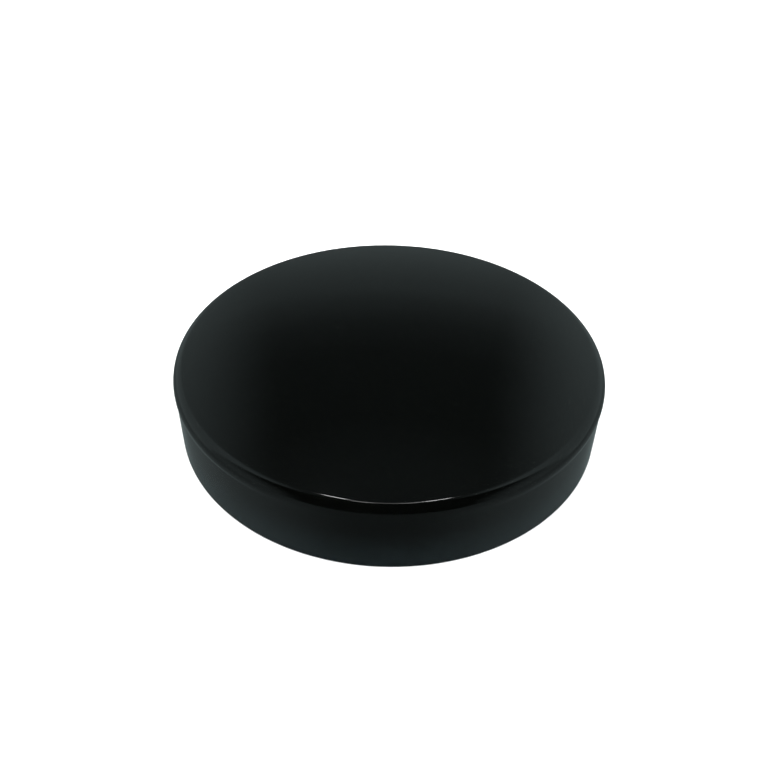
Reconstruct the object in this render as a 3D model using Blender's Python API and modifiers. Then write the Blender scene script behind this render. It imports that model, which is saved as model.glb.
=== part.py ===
"""Cap for a round fence post, as an assembly.

A pressed steel shell has a shallow dome, a rolled shoulder and a short skirt. A moulded liner inside it centres
the cap on the post and backs the seal that the post's end meets. A push nut on a welded stud holds the liner.
Two set screws, in nuts welded inside the skirt, press pads against the post.

Metres, +Z up. The origin is the centre of the circle that the skirt's lower edge stands on. The set screws lie
along X.
"""

import math

import bmesh
import bpy
from mathutils import Matrix

MM = 0.001

# Post
POST_DIAMETER = 101.6 * MM
POST_CLEARANCE = 0.4 * MM  # radial, from the post to the tips of the liner's fins

# Clearances
TOUCH_GAP = 0.3 * MM  # between pieces that touch or nest
THREAD_GAP = 0.2 * MM  # radial, between a screw and its nut

# Pressed shell
SHEET = 1.6 * MM
SHOULDER_HEIGHT = 17.15 * MM  # from the skirt's edge up to the widest circle
SHOULDER_RADIUS = 3.0 * MM  # of the rounded edge, outside
SHOULDER_OVERHANG = 0.26 * MM  # how far the shoulder stands out past the skirt
NECK_RADIUS = 2.0 * MM  # of the hollow curve under the shoulder
DOME_RISE = 4.85 * MM  # from the top of the shoulder's curve to the top of the dome

# Liner
FIN_HEIGHT = 2.8 * MM
FIN_THICKNESS = 1.2 * MM
FIN_SPACING = 13.8 * MM  # along the circle of the fins' tips
FIN_LEAD_IN = 2.4 * MM  # length of the sloped lower end of a fin
FIN_LEAD_DEPTH = 1.8 * MM  # how far that slope cuts into a fin
LINER_WALL = 1.8 * MM
LINER_RECESS = 1.2 * MM  # from the skirt's edge up to the liner
FLANGE_THICKNESS = 1.6 * MM
FLANGE_DROP = 0.4 * MM  # from the shoulder's widest circle down to the flange
FLANGE_WIDTH = 14.8 * MM
SPOKES = 8
SPOKE_THICKNESS = 1.8 * MM
HUB_RADIUS = 10.0 * MM
JOIN_DEPTH = 0.6 * MM  # how far joined shapes run into each other

# Seal
SEAL_THICKNESS = 2.8 * MM
SEAL_WIDTH = 8.9 * MM
SEAL_EDGE = 0.4 * MM  # bevel

# Stud and push nut
STUD_DIAMETER = 5.0 * MM
STUD_FOOT_RADIUS = 3.3 * MM
STUD_FOOT_THICKNESS = 0.8 * MM
STUD_BORE_GAP = 0.4 * MM
STUD_REACH = 1.8 * MM  # how far the stud stands out below the hub
STUD_CHAMFER = 0.5 * MM
PUSH_NUT_RADIUS = 7.6 * MM
PUSH_NUT_THICKNESS = 0.6 * MM
PUSH_NUT_BEND_RADIUS = 5.0 * MM  # where its teeth start to slope down
PUSH_NUT_DISH = 0.9 * MM
PUSH_NUT_SLOTS = 3  # slots right across it, so twice as many teeth
PUSH_NUT_SLOT_WIDTH = 0.9 * MM
PUSH_NUT_SLOT_RADIUS = 4.8 * MM

# Set screws, their nuts and pads
SCREW_DIAMETER = 5.8 * MM  # of the plain cylinder that stands for an M6 thread
SCREW_LENGTH = 4.2 * MM
SCREW_CHAMFER = 0.5 * MM
SOCKET_ACROSS_FLATS = 3.0 * MM
SOCKET_DEPTH = 2.4 * MM
POINT_RADIUS = 1.1 * MM
POINT_LENGTH = 1.1 * MM
PAD_RADIUS = 2.3 * MM
PAD_THICKNESS = 1.5 * MM
PAD_HOLE_GAP = 0.25 * MM
PAD_EDGE = 0.3 * MM  # chamfer
NUT_ACROSS_FLATS = 10.0 * MM
NUT_HEIGHT = 4.0 * MM
NUT_CHAMFER = 0.4 * MM
NUT_PILOT_WALL = 0.85 * MM
NUT_PILOT_RECESS = 0.5 * MM  # from the skirt's outside in to the pilot's end

# Smoothness
ROUND_STEPS = 64
SMALL_STEPS = 32
DOME_STEPS = 7
SHOULDER_STEPS = 7
NECK_STEPS = 3
MERGE = 0.00001

# Radii, worked outwards from the post
POST_RADIUS = POST_DIAMETER / 2
FIN_TIP_RADIUS = POST_RADIUS + POST_CLEARANCE
LINER_INNER = FIN_TIP_RADIUS + FIN_HEIGHT
LINER_OUTER = LINER_INNER + LINER_WALL
SKIRT_INNER = LINER_OUTER + TOUCH_GAP
SKIRT_OUTER = SKIRT_INNER + SHEET
SHOULDER_OUTER = SKIRT_OUTER + SHOULDER_OVERHANG
SHOULDER_CENTRE = SHOULDER_OUTER - SHOULDER_RADIUS
SEAL_OUTER = FIN_TIP_RADIUS - TOUCH_GAP
SEAL_INNER = SEAL_OUTER - SEAL_WIDTH

# Heights, worked down from the shoulder
DOME_TOP = SHOULDER_HEIGHT + SHOULDER_RADIUS + DOME_RISE
FLANGE_TOP = SHOULDER_HEIGHT - FLANGE_DROP
FLANGE_UNDER = FLANGE_TOP - FLANGE_THICKNESS
SEAL_TOP = FLANGE_UNDER - TOUCH_GAP
SEAL_UNDER = SEAL_TOP - SEAL_THICKNESS
SCREW_HEIGHT = (LINER_RECESS + FLANGE_UNDER) / 2
NUT_PILOT_RADIUS = SCREW_DIAMETER / 2 + THREAD_GAP + NUT_PILOT_WALL

# The dome is part of a sphere that meets the shoulder's curve without a crease.
DOME_RADIUS = (
    SHOULDER_CENTRE**2 + (DOME_RISE + SHOULDER_RADIUS) ** 2 - SHOULDER_RADIUS**2
) / (2 * DOME_RISE)
DOME_CENTRE = DOME_TOP - DOME_RADIUS
DOME_SLOPE = math.asin(SHOULDER_CENTRE / (DOME_RADIUS - SHOULDER_RADIUS))

GLOSS_BLACK = ("gloss_black_paint", (0.006, 0.007, 0.008), 0.12, 0.0)
BLACK_PLASTIC = ("black_plastic", (0.018, 0.018, 0.019), 0.5, 0.0)
GREY_FOAM = ("grey_foam", (0.045, 0.045, 0.048), 0.9, 0.0)
ZINC_STEEL = ("zinc_steel", (0.55, 0.56, 0.57), 0.35, 1.0)
SPRING_STEEL = ("spring_steel", (0.16, 0.16, 0.18), 0.3, 1.0)
STAINLESS = ("stainless_steel", (0.6, 0.6, 0.61), 0.25, 1.0)
WHITE_ACETAL = ("white_acetal", (0.75, 0.74, 0.7), 0.4, 0.0)


def clear_scene():
    for thing in list(bpy.data.objects):
        bpy.data.objects.remove(thing)


def new_collection(name):
    made = bpy.data.collections.new(name)
    bpy.context.scene.collection.children.link(made)
    return made


def paint(thing, finish):
    """Gives an object one of the finishes above, made once and shared."""
    name, colour, roughness, metallic = finish
    material = bpy.data.materials.get(name)
    if material is None:
        material = bpy.data.materials.new(name)
        material.use_nodes = True
        shader = material.node_tree.nodes["Principled BSDF"]
        shader.inputs["Base Color"].default_value = (*colour, 1)
        shader.inputs["Roughness"].default_value = roughness
        shader.inputs["Metallic"].default_value = metallic
        material.diffuse_color = (*colour, 1)
    thing.data.materials.clear()
    thing.data.materials.append(material)


def helper(thing):
    """Marks an object as a cutter or a piece to be joined, which isn't a part."""
    thing.hide_render = True
    thing.display_type = "WIRE"
    return thing


def arc(centre, radius, start, end, steps):
    """Points (radius, height) along an arc. Angles are in radians above the outward horizontal."""
    across, up = centre
    turn = (end - start) / steps
    return [
        (
            across + radius * math.cos(start + turn * i),
            up + radius * math.sin(start + turn * i),
        )
        for i in range(steps + 1)
    ]


def turned(name, profile, group, closed=False, steps=ROUND_STEPS):
    """A profile of (radius, height) points, listed down its outer side, turned about Z."""
    mesh = bpy.data.meshes.new(name)
    edges = [(i, i + 1) for i in range(len(profile) - 1)]
    if closed:
        edges.append((len(profile) - 1, 0))
    mesh.from_pydata([(across, 0, up) for across, up in profile], edges, [])
    made = bpy.data.objects.new(name, mesh)
    group.objects.link(made)
    screw = made.modifiers.new("turn", "SCREW")
    screw.steps = steps
    screw.render_steps = steps
    screw.use_merge_vertices = True
    screw.merge_threshold = MERGE
    screw.use_smooth_shade = True
    return made


def extruded(name, outline, thickness, group):
    """A flat outline of (x, y) points as a plate, centred on its own plane, with its caps welded."""
    curve = bpy.data.curves.new(name, "CURVE")
    curve.dimensions = "2D"
    curve.fill_mode = "BOTH"
    curve.extrude = thickness / 2
    line = curve.splines.new("POLY")
    line.points.add(len(outline) - 1)
    for point, (x, y) in zip(line.points, outline):
        point.co = (x, y, 0, 1)
    line.use_cyclic_u = True
    drawn = bpy.data.objects.new(name + "_outline", curve)
    group.objects.link(drawn)
    bpy.context.view_layer.update()
    evaluated = drawn.evaluated_get(bpy.context.evaluated_depsgraph_get())
    mesh = bpy.data.meshes.new_from_object(evaluated)
    welded = bmesh.new()
    welded.from_mesh(mesh)
    bmesh.ops.remove_doubles(welded, verts=welded.verts, dist=MERGE)
    bmesh.ops.recalc_face_normals(welded, faces=welded.faces)
    welded.to_mesh(mesh)
    welded.free()
    made = bpy.data.objects.new(name, mesh)
    made.matrix_world = drawn.matrix_world
    group.objects.link(made)
    bpy.data.objects.remove(drawn)
    return made


def prism(name, radius, low, high, group, sides=SMALL_STEPS):
    """A cylinder, or with few sides a prism, from low to high along its own Z."""
    solid = bmesh.new()
    bmesh.ops.create_cone(
        solid,
        cap_ends=True,
        segments=sides,
        radius1=radius,
        radius2=radius,
        depth=high - low,
        matrix=Matrix.Translation((0, 0, (low + high) / 2)),
    )
    mesh = bpy.data.meshes.new(name)
    solid.to_mesh(mesh)
    solid.free()
    made = bpy.data.objects.new(name, mesh)
    group.objects.link(made)
    return made


def block(name, size, centre, group):
    solid = bmesh.new()
    bmesh.ops.create_cube(
        solid, size=1, matrix=Matrix.Translation(centre) @ Matrix.Diagonal((*size, 1))
    )
    mesh = bpy.data.meshes.new(name)
    solid.to_mesh(mesh)
    solid.free()
    made = bpy.data.objects.new(name, mesh)
    group.objects.link(made)
    return made


def boolean(target, other, operation):
    change = target.modifiers.new(other.name, "BOOLEAN")
    change.operation = operation
    change.solver = "EXACT"
    change.object = helper(other)


def shell_outside():
    """The shell's outer line: dome, shoulder, hollow neck under the shoulder, and skirt."""
    upright = math.pi / 2
    dome = arc(
        (0, DOME_CENTRE), DOME_RADIUS, upright, upright - DOME_SLOPE, DOME_STEPS
    )
    reach = SHOULDER_RADIUS + NECK_RADIUS
    tuck = math.acos(1 - SHOULDER_OVERHANG / reach)
    shoulder = arc(
        (SHOULDER_CENTRE, SHOULDER_HEIGHT),
        SHOULDER_RADIUS,
        upright - DOME_SLOPE,
        -tuck,
        SHOULDER_STEPS,
    )
    neck_height = SHOULDER_HEIGHT - reach * math.sin(tuck)
    neck = arc(
        (SKIRT_OUTER + NECK_RADIUS, neck_height),
        NECK_RADIUS,
        math.pi - tuck,
        math.pi,
        NECK_STEPS,
    )
    dome[0] = (0, DOME_TOP)
    return dome + shoulder[1:] + neck[1:] + [(SKIRT_OUTER, 0)]


def cap_shell(group, helpers):
    """The pressed steel cap, with a hole each side for the pilot of a weld nut."""
    shell = turned("cap_shell", shell_outside(), group)
    skin = shell.modifiers.new("sheet", "SOLIDIFY")
    skin.thickness = SHEET
    skin.offset = -1
    skin.use_even_offset = True
    drill = prism(
        "shell_drill",
        NUT_PILOT_RADIUS + TOUCH_GAP,
        -SHOULDER_OUTER - SHEET,
        SHOULDER_OUTER + SHEET,
        helpers,
    )
    drill.location.z = SCREW_HEIGHT
    drill.rotation_euler.y = math.pi / 2
    boolean(shell, drill, "DIFFERENCE")
    paint(shell, GLOSS_BLACK)


def under_dome(across):
    """Height of the shell's inside surface, less the gap, at a distance from the axis."""
    inside = DOME_RADIUS - SHEET - TOUCH_GAP
    return DOME_CENTRE + math.sqrt(inside**2 - across**2)


def spoke_outline():
    """One spoke, from inside the hub's wall to the liner's: flat below, and following the dome above."""
    root = (PUSH_NUT_RADIUS + TOUCH_GAP + HUB_RADIUS) / 2
    crown = LINER_INNER - FIN_HEIGHT
    end = LINER_INNER + JOIN_DEPTH
    top = [crown - (crown - root) * i / DOME_STEPS for i in range(DOME_STEPS + 1)]
    corners = [(root, FLANGE_UNDER), (end, FLANGE_UNDER), (end, FLANGE_TOP)]
    return corners + [(across, under_dome(across)) for across in top]


def fin_outline():
    """One fin in the plane of the axis, with a sloped lower end that leads the post in."""
    low = LINER_RECESS + TOUCH_GAP
    root = LINER_INNER + JOIN_DEPTH
    return [
        (FIN_TIP_RADIUS + FIN_LEAD_DEPTH, low),
        (root, low),
        (root, FLANGE_UNDER + JOIN_DEPTH),
        (FIN_TIP_RADIUS, FLANGE_UNDER + JOIN_DEPTH),
        (FIN_TIP_RADIUS, low + FIN_LEAD_IN),
    ]


def nut_slot_half_width():
    return NUT_ACROSS_FLATS / math.sqrt(3) + TOUCH_GAP


def fin_angles():
    """Even spacing round the liner, half a step off the X axis, with none in front of a nut."""
    count = 2 * round(math.pi * FIN_TIP_RADIUS / FIN_SPACING)
    for i in range(count):
        angle = 2 * math.pi * (i + 0.5) / count
        beside = abs(FIN_TIP_RADIUS * math.sin(angle))
        if beside > nut_slot_half_width() + FIN_THICKNESS / 2:
            yield angle


def nut_slot(name, side, group):
    """Cuts the liner for a weld nut, and stays open at the top so that the liner slides up past the nut."""
    low = SCREW_HEIGHT - NUT_ACROSS_FLATS / 2 - TOUCH_GAP
    size = (
        SKIRT_OUTER - FIN_TIP_RADIUS,
        2 * nut_slot_half_width(),
        DOME_TOP - low,
    )
    middle = (SKIRT_OUTER + FIN_TIP_RADIUS) / 2
    return block(name, size, (side * middle, 0, (DOME_TOP + low) / 2), group)


def liner_wall_profile():
    """The liner's wall and the flange at its top, as a closed section."""
    inside = LINER_OUTER - FLANGE_WIDTH
    return [
        (inside, FLANGE_TOP),
        (LINER_OUTER, FLANGE_TOP),
        (LINER_OUTER, LINER_RECESS),
        (LINER_INNER, LINER_RECESS),
        (LINER_INNER, FLANGE_UNDER),
        (inside, FLANGE_UNDER),
    ]


def hub_bore_profile():
    """What is cut from the hub: a seat for the push nut, the stud's bore and room for the stud's foot."""
    bore = STUD_DIAMETER / 2 + STUD_BORE_GAP
    seat = PUSH_NUT_RADIUS + TOUCH_GAP
    foot = STUD_FOOT_RADIUS + STUD_BORE_GAP
    seat_top = FLANGE_UNDER + 2 * PUSH_NUT_THICKNESS + TOUCH_GAP
    foot_under = under_dome(0) - STUD_FOOT_THICKNESS - TOUCH_GAP
    return [
        (0, DOME_TOP),
        (foot, DOME_TOP),
        (foot, foot_under),
        (bore, foot_under),
        (bore, seat_top),
        (seat, seat_top),
        (seat, FLANGE_UNDER - JOIN_DEPTH),
        (0, FLANGE_UNDER - JOIN_DEPTH),
    ]


def grip_liner(group, helpers):
    """The moulded liner: wall, flange, fins, spokes and hub in one piece."""
    liner = turned("grip_liner", liner_wall_profile(), group, closed=True)
    upright = Matrix.Rotation(math.pi / 2, 4, "X")
    for i, angle in enumerate(fin_angles()):
        fin = extruded(f"fin_{i + 1}", fin_outline(), FIN_THICKNESS, helpers)
        fin.data.transform(upright)
        fin.rotation_euler.z = angle
        boolean(liner, fin, "UNION")
    for i in range(SPOKES):
        spoke = extruded(f"spoke_{i + 1}", spoke_outline(), SPOKE_THICKNESS, helpers)
        spoke.data.transform(upright)
        spoke.rotation_euler.z = 2 * math.pi * (i + 0.5) / SPOKES
        boolean(liner, spoke, "UNION")
    hub = prism("hub", HUB_RADIUS, FLANGE_UNDER, under_dome(HUB_RADIUS), helpers)
    boolean(liner, hub, "UNION")
    bore = turned("hub_bore", hub_bore_profile(), helpers, steps=SMALL_STEPS)
    boolean(liner, bore, "DIFFERENCE")
    for end, side in (("left", -1), ("right", 1)):
        boolean(liner, nut_slot(f"nut_slot_{end}", side, helpers), "DIFFERENCE")
    paint(liner, BLACK_PLASTIC)


def post_seal(group):
    """The foam ring that the post's end meets."""
    edge = SEAL_EDGE
    seal = turned(
        "post_seal",
        [
            (SEAL_INNER, SEAL_TOP),
            (SEAL_OUTER, SEAL_TOP),
            (SEAL_OUTER, SEAL_UNDER + edge),
            (SEAL_OUTER - edge, SEAL_UNDER),
            (SEAL_INNER + edge, SEAL_UNDER),
            (SEAL_INNER, SEAL_UNDER + edge),
        ],
        group,
        closed=True,
    )
    paint(seal, GREY_FOAM)


def liner_stud(group):
    """The stud welded under the dome, which the liner hangs on."""
    top = under_dome(0)
    radius = STUD_DIAMETER / 2
    end = FLANGE_UNDER - STUD_REACH
    stud = turned(
        "liner_stud",
        [
            (0, top),
            (STUD_FOOT_RADIUS, top),
            (STUD_FOOT_RADIUS, top - STUD_FOOT_THICKNESS),
            (radius, top - STUD_FOOT_THICKNESS),
            (radius, end + STUD_CHAMFER),
            (radius - STUD_CHAMFER, end),
            (0, end),
        ],
        group,
        steps=SMALL_STEPS,
    )
    paint(stud, ZINC_STEEL)


def push_nut(group, helpers):
    """The dished spring washer whose teeth grip the stud."""
    top = FLANGE_UNDER + 2 * PUSH_NUT_THICKNESS
    under = top - PUSH_NUT_THICKNESS
    teeth = STUD_DIAMETER / 2 + TOUCH_GAP
    nut = turned(
        "push_nut",
        [
            (teeth, top - PUSH_NUT_DISH),
            (PUSH_NUT_BEND_RADIUS, top),
            (PUSH_NUT_RADIUS, top),
            (PUSH_NUT_RADIUS, under),
            (PUSH_NUT_BEND_RADIUS, under),
            (teeth, under - PUSH_NUT_DISH),
        ],
        group,
        closed=True,
        steps=SMALL_STEPS,
    )
    for i in range(PUSH_NUT_SLOTS):
        slot = block(
            f"push_nut_slot_{i + 1}",
            (2 * PUSH_NUT_SLOT_RADIUS, PUSH_NUT_SLOT_WIDTH, 4 * PUSH_NUT_DISH),
            (0, 0, top - PUSH_NUT_DISH),
            helpers,
        )
        slot.rotation_euler.z = math.pi * i / PUSH_NUT_SLOTS
        boolean(nut, slot, "DIFFERENCE")
    paint(nut, SPRING_STEEL)


def set_across(thing, side):
    """Puts a piece on the screws' axis at the skirt's inside wall, its own Z pointing at the post.

    side is 1 for the end at +X and -1 for the end at -X.
    """
    thing.location = (side * SKIRT_INNER, 0, SCREW_HEIGHT)
    thing.rotation_euler.y = -side * math.pi / 2


def wall_sag():
    """How far the skirt's wall curves in from the nut's middle to its corners, with the gap."""
    corner = NUT_ACROSS_FLATS / math.sqrt(3)
    return SKIRT_INNER - math.sqrt(SKIRT_INNER**2 - corner**2) + TOUCH_GAP


def weld_nut(name, side, group, helpers):
    """A hexagon weld nut, corners level, with the round pilot that stands in the skirt's hole."""
    corner = NUT_ACROSS_FLATS / math.sqrt(3)
    face = wall_sag()
    pilot_end = NUT_PILOT_RECESS - SHEET
    nut = prism(name, corner, face, face + NUT_HEIGHT, group, sides=6)
    chamfer = nut.modifiers.new("chamfer", "BEVEL")
    chamfer.width = NUT_CHAMFER
    chamfer.segments = 1
    pilot = prism(
        name + "_pilot", NUT_PILOT_RADIUS, pilot_end, face + JOIN_DEPTH, helpers
    )
    bore = prism(
        name + "_bore",
        SCREW_DIAMETER / 2 + THREAD_GAP,
        pilot_end - JOIN_DEPTH,
        face + NUT_HEIGHT + JOIN_DEPTH,
        helpers,
    )
    for shape in (nut, pilot, bore):
        set_across(shape, side)
    boolean(nut, pilot, "UNION")
    boolean(nut, bore, "DIFFERENCE")
    paint(nut, ZINC_STEEL)


def pad_face():
    """Where the pad's face stands at rest, along the screw's axis: clear of the post."""
    return SKIRT_INNER - FIN_TIP_RADIUS


def screw_end():
    """Where the screw's inner end stands at rest, behind its pad."""
    return pad_face() - PAD_THICKNESS - TOUCH_GAP


def set_screw(name, side, group, helpers):
    """A headless screw, with a socket in its outer end and a point that its pad turns on."""
    radius = SCREW_DIAMETER / 2
    inner = screw_end()
    outer = inner - SCREW_LENGTH
    screw = turned(
        name,
        [
            (0, inner + POINT_LENGTH),
            (POINT_RADIUS, inner + POINT_LENGTH),
            (POINT_RADIUS, inner),
            (radius - SCREW_CHAMFER, inner),
            (radius, inner - SCREW_CHAMFER),
            (radius, outer + SCREW_CHAMFER),
            (radius - SCREW_CHAMFER, outer),
            (0, outer),
        ],
        group,
        steps=SMALL_STEPS,
    )
    socket = prism(
        name + "_socket",
        SOCKET_ACROSS_FLATS / math.sqrt(3),
        outer - JOIN_DEPTH,
        outer + SOCKET_DEPTH,
        helpers,
        sides=6,
    )
    for shape in (screw, socket):
        set_across(shape, side)
    boolean(screw, socket, "DIFFERENCE")
    paint(screw, STAINLESS)


def thrust_pad(name, side, group):
    """The pad on the screw's point, which meets the post and doesn't turn with the screw."""
    face = pad_face()
    back = face - PAD_THICKNESS
    hole = POINT_RADIUS + PAD_HOLE_GAP
    hole_end = screw_end() + POINT_LENGTH + TOUCH_GAP
    pad = turned(
        name,
        [
            (0, face),
            (PAD_RADIUS - PAD_EDGE, face),
            (PAD_RADIUS, face - PAD_EDGE),
            (PAD_RADIUS, back),
            (hole, back),
            (hole, hole_end),
            (0, hole_end),
        ],
        group,
        steps=SMALL_STEPS,
    )
    set_across(pad, side)
    paint(pad, WHITE_ACETAL)


def main():
    clear_scene()
    parts = new_collection("fence_post_cap")
    helpers = new_collection("cutters")
    cap_shell(parts, helpers)
    grip_liner(parts, helpers)
    post_seal(parts)
    liner_stud(parts)
    push_nut(parts, helpers)
    for end, side in (("left", -1), ("right", 1)):
        weld_nut(f"weld_nut_{end}", side, parts, helpers)
        set_screw(f"set_screw_{end}", side, parts, helpers)
        thrust_pad(f"thrust_pad_{end}", side, parts)


main()
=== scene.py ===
"""Finish and studio for a round fence post cap.

Each maker builds one piece of the cap, or a group of like pieces, round the packed CAD frame,
which sets every place and size. Metres, +Z up.
"""

import math

import bmesh
import bpy
from mathutils import Euler, Matrix, Vector, noise


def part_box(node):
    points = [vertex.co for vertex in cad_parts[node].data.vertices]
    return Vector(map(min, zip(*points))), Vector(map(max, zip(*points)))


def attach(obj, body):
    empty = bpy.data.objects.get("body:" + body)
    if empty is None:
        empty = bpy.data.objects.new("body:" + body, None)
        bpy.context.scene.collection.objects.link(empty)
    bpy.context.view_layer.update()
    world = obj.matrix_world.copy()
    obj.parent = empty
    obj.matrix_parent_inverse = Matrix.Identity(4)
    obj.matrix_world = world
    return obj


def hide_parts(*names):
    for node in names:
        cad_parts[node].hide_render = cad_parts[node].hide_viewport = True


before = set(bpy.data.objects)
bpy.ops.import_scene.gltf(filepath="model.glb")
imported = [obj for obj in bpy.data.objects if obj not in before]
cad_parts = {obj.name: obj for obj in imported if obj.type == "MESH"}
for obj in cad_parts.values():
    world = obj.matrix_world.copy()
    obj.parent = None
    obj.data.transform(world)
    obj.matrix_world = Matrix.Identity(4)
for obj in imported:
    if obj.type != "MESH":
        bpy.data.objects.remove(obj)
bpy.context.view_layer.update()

bl_info = {
    "name": "Fence Post Cap Maker",
    "version": (1, 0, 0),
    "blender": (4, 5, 0),
    "location": "View3D > Sidebar > Post Cap",
    "description": "Builds the finished pieces of a round fence post cap and its studio",
    "category": "Object",
}

MM = 0.001
FULL_TURN = 2 * math.pi
QUARTER_TURN = math.pi / 2
MERGE = 1e-6
GAP = 0.3 * MM  # between pieces that nest
JOIN = 0.5 * MM  # how far joined shapes run into each other
SEAT_RADIUS = 7.9 * MM  # of the push nut's seat in the hub
NUT_SLOT = 6.07 * MM  # half the width of the liner's slots for the nuts
HUB_BORE = 2.9 * MM  # radius, round the stud's shank
HUB_ROOM = 3.7 * MM  # radius of the hub's room for the stud's foot
FOOT_HEIGHT = 0.8 * MM  # of the wider foot at the stud's top
SEAL_WIDTH = 8.9 * MM
SENSOR_WIDTH = 36  # of the camera, in millimetres
SHIFT = (-0.00677, -0.00221)  # of the lens, in frame widths
CAP_BODY = "cap"
SIDES = (("left", -1), ("right", 1))


def node_box(node):
    """The lowest and highest corners of a CAD node."""
    low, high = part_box(node)
    return Vector(low), Vector(high)


def node_radius(node):
    """Half the width of a CAD node that is centred on the Z axis."""
    low, high = node_box(node)
    return (high.x - low.x) / 2


SHELL_RADIUS = node_radius("cap_shell")
SHELL_TOP = node_box("cap_shell")[1].z
LINER_RADIUS = node_radius("grip_liner")
LINER_LOW = node_box("grip_liner")[0].z
SEAL_LOW, SEAL_HIGH = node_box("post_seal")
STUD_LOW, STUD_HIGH = node_box("liner_stud")
PUSH_HIGH = node_box("push_nut")[1]
NUT_LOW, NUT_HIGH = node_box("weld_nut_right")
SCREW_LOW, SCREW_HIGH = node_box("set_screw_right")
PAD_LOW, PAD_HIGH = node_box("thrust_pad_right")
SCREW_AXIS_HEIGHT = (SCREW_LOW.z + SCREW_HIGH.z) / 2
HEAD_X = NUT_HIGH.x  # outer end of the nuts' pilots and of the screws
HUB_FOOT = STUD_HIGH.z - FOOT_HEIGHT - GAP  # floor of the room for the stud's foot
SEAT_TOP = PUSH_HIGH.z + GAP  # of the push nut's seat in the hub


# ---------------------------------------------------------------- shader maths


class Socket:
    """Wraps a shader socket, so that expressions on values add the Math nodes they need."""

    def __init__(self, material, socket):
        self.material = material
        self.socket = socket

    def _math(self, operation, first, second=None):
        return self.material.node("ShaderNodeMath", {"operation": operation}, {0: first, 1: second})

    def __add__(self, other):
        return self._math("ADD", self, other)

    def __sub__(self, other):
        return self._math("SUBTRACT", self, other)

    def __mul__(self, other):
        return self._math("MULTIPLY", self, other)

    def __radd__(self, other):
        return self._math("ADD", other, self)

    def __rsub__(self, other):
        return self._math("SUBTRACT", other, self)

    def __rmul__(self, other):
        return self._math("MULTIPLY", other, self)

    def __abs__(self):
        return self._math("ABSOLUTE", self)

    def at_least(self, other):
        return self._math("MAXIMUM", self, other)

    def smooth(self, start, end):
        """0 at start and 1 at end, with soft ends. start may be above end."""
        return self.material.node(
            "ShaderNodeMapRange",
            {"interpolation_type": "SMOOTHSTEP"},
            {"Value": self, "From Min": start, "From Max": end},
        )


class NodeTree:
    """Adds nodes to one material or world."""

    def __init__(self, owner):
        owner.use_nodes = True
        self.tree = owner.node_tree
        self.tree.nodes.clear()

    def node(self, kind, settings=None, inputs=None, output=0):
        """Adds a node, applies its settings, then its inputs, which are values or sockets."""
        made = self.tree.nodes.new(kind)
        for name, value in (settings or {}).items():
            setattr(made, name, value)
        for name, value in (inputs or {}).items():
            if value is None:
                continue
            if isinstance(value, Socket):
                self.tree.links.new(value.socket, made.inputs[name])
            else:
                made.inputs[name].default_value = value
        return Socket(self, made.outputs[output]) if made.outputs else None

    def mix(self, first, second, factor):
        """A colour between two colours."""
        ends = [end if isinstance(end, Socket) else (*end, 1.0) for end in (first, second)]
        inputs = {0: factor, 6: ends[0], 7: ends[1]}
        return self.node("ShaderNodeMix", {"data_type": "RGBA"}, inputs, output=2)

    def split(self, vector):
        """The x, y and z of a vector."""
        first = self.node("ShaderNodeSeparateXYZ", {}, {0: vector})
        return [Socket(self, out) for out in first.socket.node.outputs]


class Finish(NodeTree):
    """A material built on one Principled BSDF."""

    def __init__(self, name):
        material = bpy.data.materials.new(name)
        super().__init__(material)
        self.material = material
        self.place = self.node("ShaderNodeTexCoord", output=3)  # in the frame, in metres

    def noise(self, scale, detail, roughness=0.5, stretch=None):
        """Cloudy noise from 0 to 1. stretch multiplies the place along x, y and z."""
        place = self.place
        if stretch:
            place = self.node("ShaderNodeVectorMath", {"operation": "MULTIPLY"}, {0: place, 1: stretch})
        inputs = {"Vector": place, "Scale": scale, "Detail": detail, "Roughness": roughness}
        return self.node("ShaderNodeTexNoise", {}, inputs)

    def cells(self, scale, feature="F1"):
        inputs = {"Vector": self.place, "Scale": scale}
        return self.node("ShaderNodeTexVoronoi", {"feature": feature}, inputs)

    def bump(self, height, strength, distance, below=None):
        inputs = {"Strength": strength, "Distance": distance, "Height": height, "Normal": below}
        return self.node("ShaderNodeBump", {}, inputs)

    def surface(self, inputs):
        """Closes the material with a Principled BSDF that takes these values or links."""
        shader = self.node("ShaderNodeBsdfPrincipled", {}, inputs)
        self.node("ShaderNodeOutputMaterial", {}, {"Surface": shader})
        return self.material

    def metal(self, colour, roughness, normal):
        return self.surface(
            {"Base Color": colour, "Metallic": 1.0, "Roughness": roughness, "Normal": normal}
        )


FINISHES = {}


def finish_called(name, build, *args):
    """The material of this name, made by build the first time it is asked for."""
    if name not in FINISHES:
        FINISHES[name] = build(Finish("finished_" + name), *args)
    return FINISHES[name]


def gloss_black_paint(m, colour, roughness, reflection_colour, reflection_height):
    """Gloss black powder coat: faint orange peel, a few specks, and a painted reflection that makes the
    skirt paler and a little rougher towards its lower edge.
    """
    height = m.split(m.place)[2]
    # Painted reflection: a paler, mottled band painted up the skirt from its lower edge, standing in for
    # the floor's glow.
    painted_reflection = m.noise(210.0, 4.0)
    low_edge = height.smooth(reflection_height, 0.0)
    painted_reflection_band = low_edge * (0.75 + painted_reflection * 0.5)
    specks = m.cells(900.0).smooth(0.10, 0.04) * m.noise(60.0, 2.0).smooth(0.62, 0.72)
    tint = m.mix(colour, reflection_colour, painted_reflection_band)
    tint = m.mix(tint, (0.05, 0.05, 0.05), specks * 0.5)
    peel = m.noise(520.0, 2.0, 0.45)
    waves = m.noise(140.0, 1.0, 0.3)
    normal = m.bump(peel, 0.10, 0.00005, m.bump(waves, 0.12, 0.0001))
    return m.surface(
        {
            "Base Color": tint,
            "Roughness": roughness + painted_reflection * 0.02 + painted_reflection_band * 0.08,
            "IOR": 1.5,
            "Normal": normal,
        }
    )


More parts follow.
